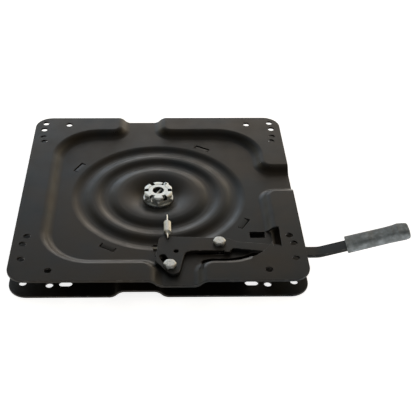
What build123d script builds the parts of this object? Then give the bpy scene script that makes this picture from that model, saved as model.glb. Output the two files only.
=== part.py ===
"""Swivel seat base: two pressed steel plates that turn on each other over a glide ring.

A castle nut on a hollow spindle holds the plates together. A sprung side lever on the top plate
carries a tooth that meets a notched ring on the bottom plate. The origin is on the spindle's axis,
in the plane that the bottom plate stands on. The lever leaves to +X and the front is -Y.
"""

import os
from math import atan2, cos, degrees, hypot, radians, sin, tan

from build123d import *

# Both pressed plates
PLATE_SIDE = 335.0
PLATE_CORNER_R = 22.0
SHEET = 2.5
RIM_WIDTH = 40.5
PAN_CORNER_R = 50.0
WALL_LEAN = 45.0  # of the pan's wall, from upright
CHANNEL_START = 1.0  # a channel's two feet, from the plate's middle
CHANNEL_END = 42.0
SIDE_CHANNEL_START = 7.0
MOUTH_R = 20.0
MOUTH_SHARE = 0.8  # most of the wall beside a channel that a mouth's curve takes
PLATE_GAP = 4.0  # between the two pan floors
RUNNING_GAP = 0.1

# Ring swages
FLANK_ANGLE = 25.0
SWAGE_DEPTH = 3.0
SWAGE_PITCH = 14.8
DISH_R = 29.0
HUB_R = 28.0
HUB_DROP = 2.2

# Rim holes and slots, each from the side edge and from the back or front edge
RIM_HOLE_D = 8.4
BACK_HOLES = [(13.5, 14.0), (12.5, 29.5), (13.5, 48.5), (15.5, 59.5), (45.5, 17.5)]
FRONT_HOLES = [(16.0, 76.5), (12.5, 62.5), (13.5, 36.5), (45.5, 17.5)]
BASE_HOLES = [(15.5, 22.0), (45.5, 18.5)]
BASE_SLOT = (63.5, 20.5)
BASE_SLOT_LENGTH = 15.0

# Lances in the top pan's floor
LANCE_COUNT = 4
LANCE_START = 60.0
LANCE_LENGTH = 20.0
LANCE_WIDTH = 7.0
LANCE_INSET = 6.0  # from the pan's wall foot to the lance's outer cut
LANCE_SLIT = 1.3
LANCE_BEND = 9.0

# Glide ring between the plates
GLIDE_T = 3.4
GLIDE_WIDTH = 36.0
GLIDE_CLEARANCE = 0.9  # from the foot of the bottom plate's step

# Spindle, bush and castle nut
SPINDLE_D = 24.0
SPINDLE_BORE = 14.0
SPINDLE_HEAD_AF = 36.0
SPINDLE_HEAD_T = 2.6
SPINDLE_SHORT = 0.3  # of the spindle's end below the nut's top
BUSH_WALL = 3.0
BUSH_CLEARANCE = 0.08
DISH_LIFT = 1.6  # of the top plate's dish over the bottom plate's hub
NUT_WASHER_D = 37.0
NUT_WASHER_T = 2.5
NUT_AF = 34.0
NUT_HEIGHT = 11.0
NUT_SLOT_WIDTH = 5.0
NUT_SLOT_DEPTH = 6.0
PIN_D = 3.2
PIN_EYE_D = 7.0
PIN_LEG = 6.0
PIN_SPLAY = 35.0
PIN_BEARING = 60.0  # of the pin's eye from +X

# Lock ring
LOCK_INSET = 15.0  # of the ring's rim from the pan's wall foot
LOCK_WIDTH = 7.0
LOCK_RUN = 1.5  # room over the ring
NOTCH_COUNT = 8
NOTCH_WIDTH = 7.4
NOTCH_DEPTH = 4.0

# Release lever; an inset is a distance from the pan's front wall foot towards the back
LEVER_T = 4.0
LEVER_OVER = 0.9  # room between lever and rim
LEVER_TRAVEL = 14.0
PIVOT_X = 70.0
PIVOT_INSET = 27.0
GUIDE_X = 12.5
GUIDE_INSET = -12.0
WEB_LEFT_X = 1.0
WEB_BACK_INSET = 39.5
WEB_FRONT_INSET = 13.5
WEB_R = 7.0
HIP_OUT = 10.0  # of the web's right end past the pivot
HIP_INSET = 35.5
HIP_R = 12.0
LOBE_TIP_NEAR = 0.5  # the lobe's tip, right of the guide bolt
LOBE_TIP_FAR = 10.0
LOBE_TIP_AHEAD = 13.5
LOBE_TIP_R = 6.0
LOBE_ROOT_OUT = 18.0  # from the guide bolt to where the lobe meets the web
LOBE_ROOT_R = 10.0
LOBE_LEFT_X = -4.5
LOBE_LEFT_INSET = -4.0
LOBE_LEFT_R = 12.0
HEEL_X = 82.5
HEEL_R = 2.0
NECK_OUT = 2.0  # from the heel to the arm's front edge
ARM_ROOT_OUT = 8.0  # from the heel to the arm's back edge
ARM_ROOT_R = 8.0
ARM_BACK_INSET = 29.0
ARM_NECK = 11.5
ARM_WIDTH = 15.4
ARM_FALL = 6.3
ARM_OUT = 3.0  # of the arm's flat end past the plate
BEND_OUT = 15.0
BEND_ANGLE = 17.5
BEND_RADIUS = 25.0
SPARE_HOLE_X = 20.0
SPARE_HOLE_INSET = 12.5
SPARE_HOLE_D = 6.0

# Tooth under the lever
TOOTH_X = 1.5
TOOTH_LENGTH = 4.0
TOOTH_WIDTH = 6.4
TOOTH_GAP = 0.3
TOOTH_FLOAT = 0.5  # under the tooth

# Grip sleeve: distance from its open end, width and thickness
GRIP_STATIONS = [(0.0, 20.0, 12.0), (45.0, 18.8, 11.0), (67.0, 21.0, 12.6), (72.0, 17.0, 10.4)]
GRIP_CORNER_R = 5.0
GRIP_START = 32.0  # from the arm's bend
GRIP_TANG = 60.0
GRIP_CLEARANCE = 0.1

# Lever bolts
BOLT_D = 8.0
BOLT_CLEARANCE = 0.1
BOLT_PLAY = 0.15  # under the bolt's head
HEAD_AF = 13.0
HEAD_T = 4.2
HEAD_CHAMFER = 0.6
LEVER_WASHER_D = 13.0
LEVER_WASHER_T = 0.6
BOLT_NUT_T = 2.5
NUT_TURN = 30.0  # of the thin nuts

# Openings of the top plate under and beside the lever
TOOTH_WINDOW_WIDTH = 13.0
TOOTH_WINDOW_AHEAD = 1.0  # degrees ahead of the tooth's travel
TOOTH_WINDOW_BEHIND = 16.0  # degrees behind the tooth
STOP_WIDTH = 6.5
STOP_HEIGHT = 5.0
STOP_GAP = 0.3
STOP_HEEL = 1.0  # from the stop to the lever's heel
HEEL_SLOT_LENGTH = 32.0
HEEL_SLOT_WIDTH = 6.0
HEEL_SLOT_AHEAD = 1.7  # of the slot's front edge before the stop's back
GATE_INSET = 52.0
GATE_FRONT_INSET = 17.0
GATE_LIP = 6.0
GATE_OUT = 14.0
GATE_RIM = 4.0
GATE_SWEEP = 60.0  # degrees of the pan's corner whose wall is cut away
SLIT_WIDTH = 4.6  # of the slit between the floor and the wall's foot
SLIT_BESIDE = 6.0  # from the channel's foot to the slit
RELIEF_LENGTH = 18.0
RELIEF_WIDTH = 11.0
RELIEF_BACK = 2.0

# Return spring
SPRING_D = 9.0
SPRING_BODY = 22.0
SPRING_X = 10.5
SPRING_HOLE_D = 3.4
SPRING_DOME_INSET = 7.7  # from the innermost swage to the spring's hole
SPRING_LEVER_INSET = 35.0
HOOK_D = 1.4
HOOK_CLEARANCE = 0.3

# Levels that follow
PLATE_HALF = PLATE_SIDE / 2
PAN_HALF = PLATE_HALF - RIM_WIDTH
PAN_DEPTH = SHEET + LEVER_WASHER_T + LEVER_T + LEVER_OVER
CLOSED_HEIGHT = 2 * PAN_DEPTH + 2 * SHEET + PLATE_GAP
BLOCK_DEPTH = CLOSED_HEIGHT + SHEET
TOP_FLOOR = CLOSED_HEIGHT - PAN_DEPTH
FLOOR_UNDER = TOP_FLOOR - SHEET
BASE_FLOOR = PAN_DEPTH + SHEET
LEVER_Z = TOP_FLOOR + LEVER_WASHER_T
LEVER_TOP = LEVER_Z + LEVER_T
SPRING_Z = LEVER_TOP + HOOK_CLEARANCE + HOOK_D / 2

INNER_STEP = GLIDE_T + RUNNING_GAP + SWAGE_DEPTH - PLATE_GAP
INNER_FACE = PAN_DEPTH - INNER_STEP
HUB_FACE = INNER_FACE - HUB_DROP
HUB_TOP = HUB_FACE + SHEET
DISH_TOP = HUB_TOP + DISH_LIFT + SHEET
NUT_WASHER_Z = DISH_TOP + RUNNING_GAP
NUT_Z = NUT_WASHER_Z + NUT_WASHER_T
NUT_TOP = NUT_Z + NUT_HEIGHT
PIN_Z = NUT_TOP - NUT_SLOT_DEPTH + PIN_D / 2 + RUNNING_GAP

# Radii that follow
LOCK_R = PAN_HALF - LOCK_INSET
SWAGE_1 = LOCK_R - LOCK_WIDTH - SHEET
SWAGE_2 = SWAGE_1 - SWAGE_PITCH
SWAGE_3 = SWAGE_2 - SWAGE_PITCH
SWAGE_4 = SWAGE_3 - SWAGE_PITCH
SWAGE_RIM = SWAGE_1 + SWAGE_PITCH / 2
STEP_RUN = INNER_STEP / 2 / tan(radians(FLANK_ANGLE))
GLIDE_R = SWAGE_1 - SHEET * tan(radians(FLANK_ANGLE / 2)) - STEP_RUN - GLIDE_CLEARANCE
BUSH_R = SPINDLE_D / 2 + BUSH_WALL
BOLT_HOLE_R = BOLT_D / 2 + BOLT_CLEARANCE
LANCE_OUTER = PAN_HALF - LANCE_INSET
LANCE_HINGE = LANCE_OUTER - LANCE_WIDTH

# Each swage's middle radius, and the depth of the face inside it
TOP_SWAGES = [
    (SWAGE_1, PAN_DEPTH + SWAGE_DEPTH),
    (SWAGE_2, PAN_DEPTH),
    (SWAGE_3, PAN_DEPTH + SWAGE_DEPTH),
    (SWAGE_4, PAN_DEPTH),
    (DISH_R, CLOSED_HEIGHT - DISH_TOP),
]
BASE_SWAGES = [
    (SWAGE_1, INNER_FACE),
    (HUB_R, HUB_FACE),
]


def from_front(inset):
    """Y of a line that lies the inset behind the pan's front wall foot."""
    return inset - PAN_HALF


# Places on the lever that follow
PIVOT = (PIVOT_X, from_front(PIVOT_INSET))
GUIDE = (GUIDE_X, from_front(GUIDE_INSET))
GUIDE_R = hypot(GUIDE[0] - PIVOT[0], GUIDE[1] - PIVOT[1])
GUIDE_ANGLE = degrees(atan2(GUIDE[1] - PIVOT[1], GUIDE[0] - PIVOT[0]))
TOOTH = (TOOTH_X, -(LOCK_R + TOOTH_GAP + TOOTH_LENGTH / 2))
TOOTH_R = hypot(TOOTH[0] - PIVOT[0], TOOTH[1] - PIVOT[1])
TOOTH_ANGLE = degrees(atan2(TOOTH[1] - PIVOT[1], TOOTH[0] - PIVOT[0]))
TOOTH_BEARING = degrees(atan2(TOOTH[1], TOOTH[0]))
DOME_HOLE = (SPRING_X, SPRING_DOME_INSET - SWAGE_4)
LEVER_HOLE = (SPRING_X, from_front(SPRING_LEVER_INSET))
ARM_END = PLATE_HALF + ARM_OUT
ARM_BACK = from_front(ARM_BACK_INSET) - (ARM_END - HEEL_X) * tan(radians(ARM_FALL))


def pan_outline(grow):
    """The pan's floor with its three channels, grown sideways."""
    reach = PLATE_HALF + RIM_WIDTH
    wall_room = PAN_HALF - PAN_CORNER_R - CHANNEL_END
    with BuildSketch() as outline:
        RectangleRounded(2 * PAN_HALF, 2 * PAN_HALF, PAN_CORNER_R)
        for bearing, start in ((0, CHANNEL_START), (90, SIDE_CHANNEL_START), (180, CHANNEL_START)):
            with Locations(Location((0, 0), bearing)):
                with Locations((start, 0)):
                    Rectangle(CHANNEL_END - start, reach, align=(Align.MIN, Align.MAX))
        mouths = [
            corner
            for corner in outline.vertices()
            if abs(max(abs(corner.X), abs(corner.Y)) - PAN_HALF) < RUNNING_GAP
            and min(abs(corner.X), abs(corner.Y)) < CHANNEL_END + RUNNING_GAP
        ]
        fillet(mouths, min(MOUTH_R, MOUTH_SHARE * wall_room))
        offset(amount=grow)
    return outline.sketch


def swage_face(swages, skin):
    """Half section under the swages, taken the skin's depth below the outer face."""
    shift = skin * tan(radians(FLANK_ANGLE / 2))
    depth = PAN_DEPTH
    points = [(SWAGE_RIM, -depth - skin)]
    for middle, inner_depth in swages:
        run = abs(inner_depth - depth) / 2 / tan(radians(FLANK_ANGLE))
        centre = middle + shift if inner_depth > depth else middle - shift
        points.append((centre + run, -depth - skin))
        points.append((centre - run, -inner_depth - skin))
        depth = inner_depth
    points += [(0, -depth - skin), (0, -BLOCK_DEPTH), (SWAGE_RIM, -BLOCK_DEPTH)]
    with BuildSketch(Plane.XZ) as section:
        with BuildLine():
            Polyline(*points, close=True)
        make_face()
    return section.sketch


def pressed_block(swages, skin):
    """All that lies under a pressing's outer face, taken the skin's depth below that face."""
    side = PLATE_SIDE + 2 * skin
    with BuildPart() as block:
        with BuildSketch(Plane.XY.offset(-BLOCK_DEPTH - skin)):
            RectangleRounded(side, side, PLATE_CORNER_R + skin)
        extrude(amount=BLOCK_DEPTH)
        with BuildSketch(Plane.XY.offset(-PAN_DEPTH - skin)):
            add(pan_outline(skin * tan(radians(45 - WALL_LEAN / 2))))
        extrude(amount=PAN_DEPTH, taper=-WALL_LEAN, mode=Mode.SUBTRACT)
        with BuildSketch(Plane.XY.offset(-BLOCK_DEPTH)):
            Circle(SWAGE_RIM)
        extrude(amount=BLOCK_DEPTH, mode=Mode.SUBTRACT)
        revolve(swage_face(swages, skin), axis=Axis.Z)
    return block.part


def pressed_sheet(swages):
    """One pressing, its rim's outer face at height zero and its pan below."""
    with BuildPart() as sheet:
        add(pressed_block(swages, 0.0))
        add(pressed_block(swages, SHEET), mode=Mode.SUBTRACT)
    return sheet.part


def arc_window(centre, inner, outer, start, end):
    """A flat window between two radii and two angles about a centre."""
    with BuildSketch() as window:
        with BuildLine():
            outer_arc = CenterArc(centre, outer, start, end - start)
            inner_arc = CenterArc(centre, inner, start, end - start)
            Line(outer_arc @ 0, inner_arc @ 0)
            Line(outer_arc @ 1, inner_arc @ 1)
        make_face()
    return window.sketch


def rim_places(back, front):
    """Places on both sides of the rim, for the given back and front insets."""
    places = [(PLATE_HALF - across, PLATE_HALF - along) for across, along in back]
    places += [(PLATE_HALF - across, along - PLATE_HALF) for across, along in front]
    return places + [(-x, y) for x, y in places]


# Lance: a flap of the floor, hinged on its inner side and bent down
flap_x = (LANCE_WIDTH - LANCE_SLIT) * cos(radians(LANCE_BEND))
flap_z = (LANCE_WIDTH - LANCE_SLIT) * sin(radians(LANCE_BEND))
with BuildPart() as lance_flap:
    with BuildSketch(Plane.XZ):
        with BuildLine():
            Polyline(
                (LANCE_HINGE, TOP_FLOOR),
                (LANCE_HINGE + flap_x, TOP_FLOOR - flap_z),
                (LANCE_HINGE + flap_x, FLOOR_UNDER - flap_z),
                (LANCE_HINGE, FLOOR_UNDER),
                close=True,
            )
        make_face()
    extrude(amount=LANCE_LENGTH / 2 - LANCE_SLIT, both=True)

# Top plate
corner_centre = (PAN_HALF - PAN_CORNER_R, PAN_CORNER_R - PAN_HALF)
wall_run = PAN_DEPTH * tan(radians(WALL_LEAN)) + SHEET * tan(radians(45 - WALL_LEAN / 2))
gate_back = from_front(GATE_INSET)
gate_front = from_front(GATE_FRONT_INSET)
lip_front = from_front(PIVOT_INSET)
lip_end = PAN_HALF + GATE_LIP
relief_end = PAN_HALF - RELIEF_BACK
half_tooth = degrees(TOOTH_LENGTH / 2 / TOOTH_R)
window_end = TOOTH_ANGLE + LEVER_TRAVEL + half_tooth + TOOTH_WINDOW_AHEAD
stop_left = HEEL_X - STOP_HEEL - STOP_WIDTH
stop_back = from_front(WEB_FRONT_INSET) - STOP_GAP

# Slit between the floor and the wall's foot, from the front channel to the gate
with BuildSketch() as foot_slit:
    add(pan_outline(0.0))
    add(pan_outline(-SLIT_WIDTH), mode=Mode.SUBTRACT)
    with Locations((CHANNEL_END + SLIT_BESIDE, gate_back)):
        Rectangle(PLATE_HALF, PLATE_HALF, align=(Align.MIN, Align.MAX), mode=Mode.INTERSECT)

with BuildPart() as top_plate:
    add(pressed_sheet(TOP_SWAGES).moved(Location((0, 0, CLOSED_HEIGHT))))

    # Gate for the lever's arm: the wall is cut away, and the floor runs on as a lip
    with BuildSketch():
        add(arc_window(corner_centre, PAN_CORNER_R, PAN_CORNER_R + wall_run, -GATE_SWEEP, 0))
        with Locations((PAN_HALF, gate_back)):
            Rectangle(GATE_OUT, gate_back - lip_front, align=(Align.MIN, Align.MAX))
        with Locations((PAN_HALF + GATE_RIM, gate_back)):
            Rectangle(GATE_OUT - GATE_RIM, gate_back - gate_front, align=(Align.MIN, Align.MAX))
    extrude(amount=CLOSED_HEIGHT, mode=Mode.SUBTRACT)
    with BuildSketch(Plane.XY.offset(FLOOR_UNDER)):
        with Locations((lip_end, gate_back)):
            Rectangle(
                lip_end - relief_end + RELIEF_LENGTH,
                gate_back - lip_front,
                align=Align.MAX,
            )
    extrude(amount=SHEET)

    # Windows in the floor: foot slit, wall relief, lances, tooth, stop tab, heel slot, bolts, hook and bush
    with BuildSketch():
        add(foot_slit.sketch)
        with Locations((lip_end, lip_front)):
            Rectangle(lip_end, gate_back - lip_front, align=(Align.MAX, Align.MIN), mode=Mode.SUBTRACT)
        with Locations((relief_end, gate_back)):
            Rectangle(RELIEF_LENGTH, RELIEF_WIDTH, align=Align.MAX)
        with PolarLocations((LANCE_HINGE + LANCE_OUTER) / 2, LANCE_COUNT, start_angle=LANCE_START):
            Rectangle(LANCE_WIDTH, LANCE_LENGTH)
        add(
            arc_window(
                PIVOT,
                TOOTH_R - TOOTH_WINDOW_WIDTH / 2,
                TOOTH_R + TOOTH_WINDOW_WIDTH / 2,
                TOOTH_ANGLE - TOOTH_WINDOW_BEHIND,
                window_end,
            )
        )
        with Locations((stop_left, stop_back)):
            Rectangle(STOP_WIDTH, STOP_HEIGHT, align=Align.MIN)
        with Locations((stop_left, stop_back - HEEL_SLOT_AHEAD)):
            Rectangle(HEEL_SLOT_LENGTH, HEEL_SLOT_WIDTH, align=(Align.MAX, Align.MIN))
        with Locations(PIVOT, GUIDE):
            Circle(BOLT_HOLE_R)
        with Locations(DOME_HOLE):
            Circle(SPRING_HOLE_D / 2)
        Circle(BUSH_R)
    extrude(amount=TOP_FLOOR + SHEET / 2, mode=Mode.SUBTRACT)
    with PolarLocations(0, LANCE_COUNT, start_angle=LANCE_START):
        add(lance_flap.part)

    # Stop tab, bent up out of the floor in front of the lever
    with BuildSketch(Plane.XY.offset(FLOOR_UNDER)):
        with Locations((stop_left, stop_back)):
            Rectangle(STOP_WIDTH, SHEET, align=(Align.MIN, Align.MAX))
    extrude(amount=SHEET + STOP_HEIGHT)

    with BuildSketch(Plane.XY.offset(CLOSED_HEIGHT)):
        with Locations(*rim_places(BACK_HOLES, FRONT_HOLES)):
            Circle(RIM_HOLE_D / 2)
    extrude(amount=-2 * SHEET, mode=Mode.SUBTRACT)

# Bottom plate: the same pan turned over, with its own swages, holes and slots
with BuildPart() as bottom_plate:
    add(pressed_sheet(BASE_SWAGES).rotate(Axis.X, 180))
    with BuildSketch():
        with Locations(*rim_places(BASE_HOLES, BASE_HOLES)):
            Circle(RIM_HOLE_D / 2)
        with Locations(*rim_places([BASE_SLOT], [BASE_SLOT])):
            SlotOverall(BASE_SLOT_LENGTH, RIM_HOLE_D)
        Circle(SPINDLE_D / 2)
    extrude(amount=BASE_FLOOR, mode=Mode.SUBTRACT)

# Glide ring in the bottom plate's recess, under the two grooves of the top plate
with BuildPart() as glide_ring:
    with BuildSketch(Plane.XY.offset(INNER_FACE + SHEET)):
        Circle(GLIDE_R)
        Circle(GLIDE_R - GLIDE_WIDTH, mode=Mode.SUBTRACT)
    extrude(amount=GLIDE_T)

# Lock ring on the bottom plate, one notch in line with the tooth
with BuildPart() as lock_ring:
    with BuildSketch(Plane.XY.offset(BASE_FLOOR)):
        Circle(LOCK_R)
        Circle(LOCK_R - LOCK_WIDTH, mode=Mode.SUBTRACT)
        with PolarLocations(LOCK_R, NOTCH_COUNT, start_angle=TOOTH_BEARING):
            Rectangle(2 * NOTCH_DEPTH, NOTCH_WIDTH, mode=Mode.SUBTRACT)
    extrude(amount=PLATE_GAP - LOCK_RUN)

# Planes across and along the split pin
pin_x = cos(radians(PIN_BEARING))
pin_y = sin(radians(PIN_BEARING))
pin_cross = Plane(origin=(0, 0, 0), x_dir=(-pin_y, pin_x, 0), z_dir=(pin_x, pin_y, 0))
pin_flat = Plane(origin=(0, 0, 0), x_dir=(pin_x, pin_y, 0), z_dir=(0, 0, 1))

# Hollow spindle through both plates, with its hex head under the hub and a cross hole for the pin
with BuildPart() as pivot_spindle:
    with BuildSketch(Plane.XY.offset(HUB_FACE - SPINDLE_HEAD_T)):
        RegularPolygon(SPINDLE_HEAD_AF / 2, 6, major_radius=False)
    extrude(amount=SPINDLE_HEAD_T)
    with BuildSketch(Plane.XY.offset(HUB_FACE)):
        Circle(SPINDLE_D / 2)
    extrude(amount=NUT_TOP - SPINDLE_SHORT - HUB_FACE)
    with BuildSketch():
        Circle(SPINDLE_BORE / 2)
    extrude(amount=NUT_TOP, mode=Mode.SUBTRACT)
    with BuildSketch(pin_cross):
        with Locations((0, PIN_Z)):
            Circle(PIN_D / 2 + RUNNING_GAP)
    extrude(amount=SPINDLE_D, both=True, mode=Mode.SUBTRACT)

# Castle nut, a corner to the front and a slot to each flat
with BuildPart() as castle_nut:
    with BuildSketch(Plane.XY.offset(NUT_Z)):
        RegularPolygon(NUT_AF / 2, 6, major_radius=False, rotation=30)
        Circle(SPINDLE_D / 2, mode=Mode.SUBTRACT)
    extrude(amount=NUT_HEIGHT)
    with BuildSketch(Plane.XY.offset(NUT_TOP)):
        with PolarLocations(0, 3, angular_range=180, endpoint=False):
            Rectangle(2 * NUT_AF, NUT_SLOT_WIDTH)
    extrude(amount=-NUT_SLOT_DEPTH, mode=Mode.SUBTRACT)

# Split pin: eye on one side of the nut, two splayed legs on the other
with BuildPart() as split_pin:
    with BuildSketch(pin_cross.offset(-NUT_AF / 2)):
        with Locations((0, PIN_Z)):
            Circle(PIN_D / 2)
    extrude(amount=NUT_AF)
    with BuildSketch(pin_flat.offset(PIN_Z - PIN_D / 4)):
        with Locations((NUT_AF / 2 + PIN_EYE_D / 2 - PIN_D / 4, 0)):
            Circle(PIN_EYE_D / 2)
            Circle(PIN_EYE_D / 2 - PIN_D / 2, mode=Mode.SUBTRACT)
        with Locations(Location((-NUT_AF / 2, 0), PIN_SPLAY), Location((-NUT_AF / 2, 0), -PIN_SPLAY)):
            Rectangle(PIN_LEG, PIN_D / 2, align=(Align.MAX, Align.CENTER))
    extrude(amount=PIN_D / 2)


def hex_bolt(place):
    """Hex bolt that carries the lever and goes through the pan's floor into its nut."""
    head_z = LEVER_TOP + BOLT_PLAY
    with BuildPart() as bolt:
        with BuildSketch(Plane.XY.offset(head_z)):
            with Locations(place):
                RegularPolygon(HEAD_AF / 2, 6, major_radius=False)
        extrude(amount=HEAD_T)
        chamfer(bolt.edges().group_by(Axis.Z)[-1], HEAD_CHAMFER)
        with BuildSketch(Plane.XY.offset(head_z)):
            with Locations(place):
                Circle(BOLT_D / 2)
        extrude(amount=FLOOR_UNDER - BOLT_NUT_T - head_z)
    return bolt


def flat_ring(place, outer, inner, height, thickness):
    """Round ring at a place: a washer or a bush."""
    with BuildPart() as ring:
        with BuildSketch(Plane.XY.offset(height)):
            with Locations(place):
                Circle(outer)
                Circle(inner, mode=Mode.SUBTRACT)
        extrude(amount=thickness)
    return ring


def thin_nut(place):
    """Thin hex nut under the pan's floor, a corner to the front and back."""
    with BuildPart() as nut:
        with BuildSketch(Plane.XY.offset(FLOOR_UNDER - BOLT_NUT_T)):
            with Locations(place):
                RegularPolygon(HEAD_AF / 2, 6, major_radius=False, rotation=NUT_TURN)
                Circle(BOLT_D / 2, mode=Mode.SUBTRACT)
        extrude(amount=BOLT_NUT_T)
    return nut


spindle_axis = (0, 0)
bush_z = HUB_TOP + RUNNING_GAP
bush_bore_r = SPINDLE_D / 2 + BUSH_CLEARANCE
pivot_bush = flat_ring(spindle_axis, BUSH_R, bush_bore_r, bush_z, DISH_TOP - bush_z)
nut_washer = flat_ring(spindle_axis, NUT_WASHER_D / 2, SPINDLE_D / 2, NUT_WASHER_Z, NUT_WASHER_T)
pivot_bolt = hex_bolt(PIVOT)
guide_bolt = hex_bolt(GUIDE)
pivot_washer = flat_ring(PIVOT, LEVER_WASHER_D / 2, BOLT_HOLE_R, TOP_FLOOR, LEVER_WASHER_T)
guide_washer = flat_ring(GUIDE, LEVER_WASHER_D / 2, BOLT_HOLE_R, TOP_FLOOR, LEVER_WASHER_T)
pivot_nut = thin_nut(PIVOT)
guide_nut = thin_nut(GUIDE)

# Release lever: flat plate with a lobe round the guide bolt and an arm that falls to the front
lobe_tip = GUIDE[1] - LOBE_TIP_AHEAD
arm_root = from_front(ARM_BACK_INSET)
web_back = from_front(WEB_BACK_INSET)
web_front = from_front(WEB_FRONT_INSET)
lever_corners = [
    (WEB_LEFT_X, web_back, WEB_R),
    (PIVOT_X + HIP_OUT, from_front(HIP_INSET), HIP_R),
    (HEEL_X + ARM_ROOT_OUT, arm_root, ARM_ROOT_R),
    (ARM_END, ARM_BACK, 0.0),
    (ARM_END, ARM_BACK - ARM_WIDTH, 0.0),
    (HEEL_X + NECK_OUT, arm_root - ARM_NECK, HEEL_R),
    (HEEL_X, web_front, HEEL_R),
    (GUIDE_X + LOBE_ROOT_OUT, web_front, LOBE_ROOT_R),
    (GUIDE_X + LOBE_TIP_FAR, lobe_tip, LOBE_TIP_R),
    (GUIDE_X + LOBE_TIP_NEAR, lobe_tip, LOBE_TIP_R),
    (LOBE_LEFT_X, from_front(LOBE_LEFT_INSET), LOBE_LEFT_R),
]
guide_path = CenterArc(PIVOT, GUIDE_R, GUIDE_ANGLE - LEVER_TRAVEL, LEVER_TRAVEL)
rise = radians(BEND_ANGLE)
bend_x = PLATE_HALF + BEND_OUT
bend_back = LEVER_T * tan(rise / 2)
rise_x = (GRIP_START + GRIP_TANG) * cos(rise)
rise_z = (GRIP_START + GRIP_TANG) * sin(rise)
with BuildPart() as release_lever:
    with BuildSketch(Plane.XY.offset(LEVER_Z)) as lever_outline:
        Polygon(*[(x, y) for x, y, radius in lever_corners], align=None)
        for x, y, radius in lever_corners:
            if radius:
                fillet(lever_outline.vertices().sort_by_distance((x, y))[0], radius)
        with Locations(PIVOT):
            Circle(BOLT_HOLE_R, mode=Mode.SUBTRACT)
        SlotArc(guide_path, 2 * BOLT_HOLE_R, mode=Mode.SUBTRACT)
        with Locations((SPARE_HOLE_X, from_front(SPARE_HOLE_INSET))):
            Circle(SPARE_HOLE_D / 2, mode=Mode.SUBTRACT)
        with Locations(LEVER_HOLE):
            Circle(SPRING_HOLE_D / 2, mode=Mode.SUBTRACT)
    extrude(amount=LEVER_T)
    with BuildSketch(Plane.XZ.offset(-ARM_BACK)):
        with BuildLine():
            under = FilletPolyline(
                (ARM_END, LEVER_Z),
                (bend_x, LEVER_Z),
                (bend_x + rise_x, LEVER_Z + rise_z),
                radius=BEND_RADIUS + LEVER_T,
            )
            over = FilletPolyline(
                (ARM_END, LEVER_TOP),
                (bend_x - bend_back, LEVER_TOP),
                (bend_x + rise_x - LEVER_T * sin(rise), LEVER_Z + rise_z + LEVER_T * cos(rise)),
                radius=BEND_RADIUS,
            )
            Line(under @ 0, over @ 0)
            Line(under @ 1, over @ 1)
        make_face()
    extrude(amount=ARM_WIDTH)

# Tooth welded under the lobe, square to the lock ring
tooth_z = BASE_FLOOR + TOOTH_FLOAT
with BuildPart() as lock_tooth:
    with BuildSketch(Plane.XY.offset(tooth_z)):
        with Locations(Location(TOOTH, TOOTH_BEARING)):
            Rectangle(TOOTH_LENGTH, TOOTH_WIDTH)
    extrude(amount=LEVER_Z - tooth_z)

# Grip sleeve on the arm's tang
grip_origin = (
    bend_x - bend_back / 2 + GRIP_START * cos(rise),
    ARM_BACK - ARM_WIDTH / 2,
    LEVER_Z + LEVER_T / 2 + GRIP_START * sin(rise),
)
grip_plane = Plane(origin=grip_origin, x_dir=(0, 1, 0), z_dir=(cos(rise), 0, sin(rise)))
with BuildPart() as lever_grip:
    for distance, width, thickness in GRIP_STATIONS:
        with BuildSketch(grip_plane.offset(distance)):
            RectangleRounded(width, thickness, GRIP_CORNER_R)
    loft(ruled=True)
    with BuildSketch(grip_plane):
        Rectangle(ARM_WIDTH + 2 * GRIP_CLEARANCE, LEVER_T + 2 * GRIP_CLEARANCE)
    extrude(amount=GRIP_TANG, mode=Mode.SUBTRACT)

# Return spring: close-wound body with a hook at each end
body_front = (DOME_HOLE[1] + LEVER_HOLE[1] - SPRING_BODY) / 2
with BuildPart() as return_spring:
    with BuildSketch(Plane.XZ.offset(-body_front)):
        with Locations((SPRING_X, SPRING_Z)):
            Circle(SPRING_D / 2)
    extrude(amount=-SPRING_BODY)
    for start, (hook_x, hook_y), tip_z in (
        (body_front + SPRING_BODY, DOME_HOLE, FLOOR_UNDER - HOOK_D / 2),
        (body_front, LEVER_HOLE, LEVER_Z - HOOK_D / 2),
    ):
        with BuildLine() as hook:
            Polyline((hook_x, start, SPRING_Z), (hook_x, hook_y, SPRING_Z), (hook_x, hook_y, tip_z))
        with BuildSketch(Plane(origin=hook.line @ 0, z_dir=hook.line % 0)):
            Circle(HOOK_D / 2)
        sweep(path=hook.line, transition=Transition.RIGHT)

PIECES = {
    "top_plate": top_plate,
    "bottom_plate": bottom_plate,
    "glide_ring": glide_ring,
    "lock_ring": lock_ring,
    "pivot_spindle": pivot_spindle,
    "pivot_bush": pivot_bush,
    "nut_washer": nut_washer,
    "castle_nut": castle_nut,
    "split_pin": split_pin,
    "pivot_bolt": pivot_bolt,
    "guide_bolt": guide_bolt,
    "pivot_washer": pivot_washer,
    "guide_washer": guide_washer,
    "pivot_nut": pivot_nut,
    "guide_nut": guide_nut,
    "release_lever": release_lever,
    "lock_tooth": lock_tooth,
    "lever_grip": lever_grip,
    "return_spring": return_spring,
}

os.makedirs("parts", exist_ok=True)
for name, piece in PIECES.items():
    piece.part.label = name
    export_step(piece.part, f"parts/{name}.step")
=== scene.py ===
# %% [markdown]
# # Swivel seat base
# Two black pressed plates turn on each other round a zinc castle nut, and a sprung lever locks them.
# The CAD model is loaded first, as the fixed frame that every visible piece is built on.

from math import acos, atan2, cos, pi, radians, sin, sqrt, tan

import bmesh
import bpy
from mathutils import Matrix, Vector


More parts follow.
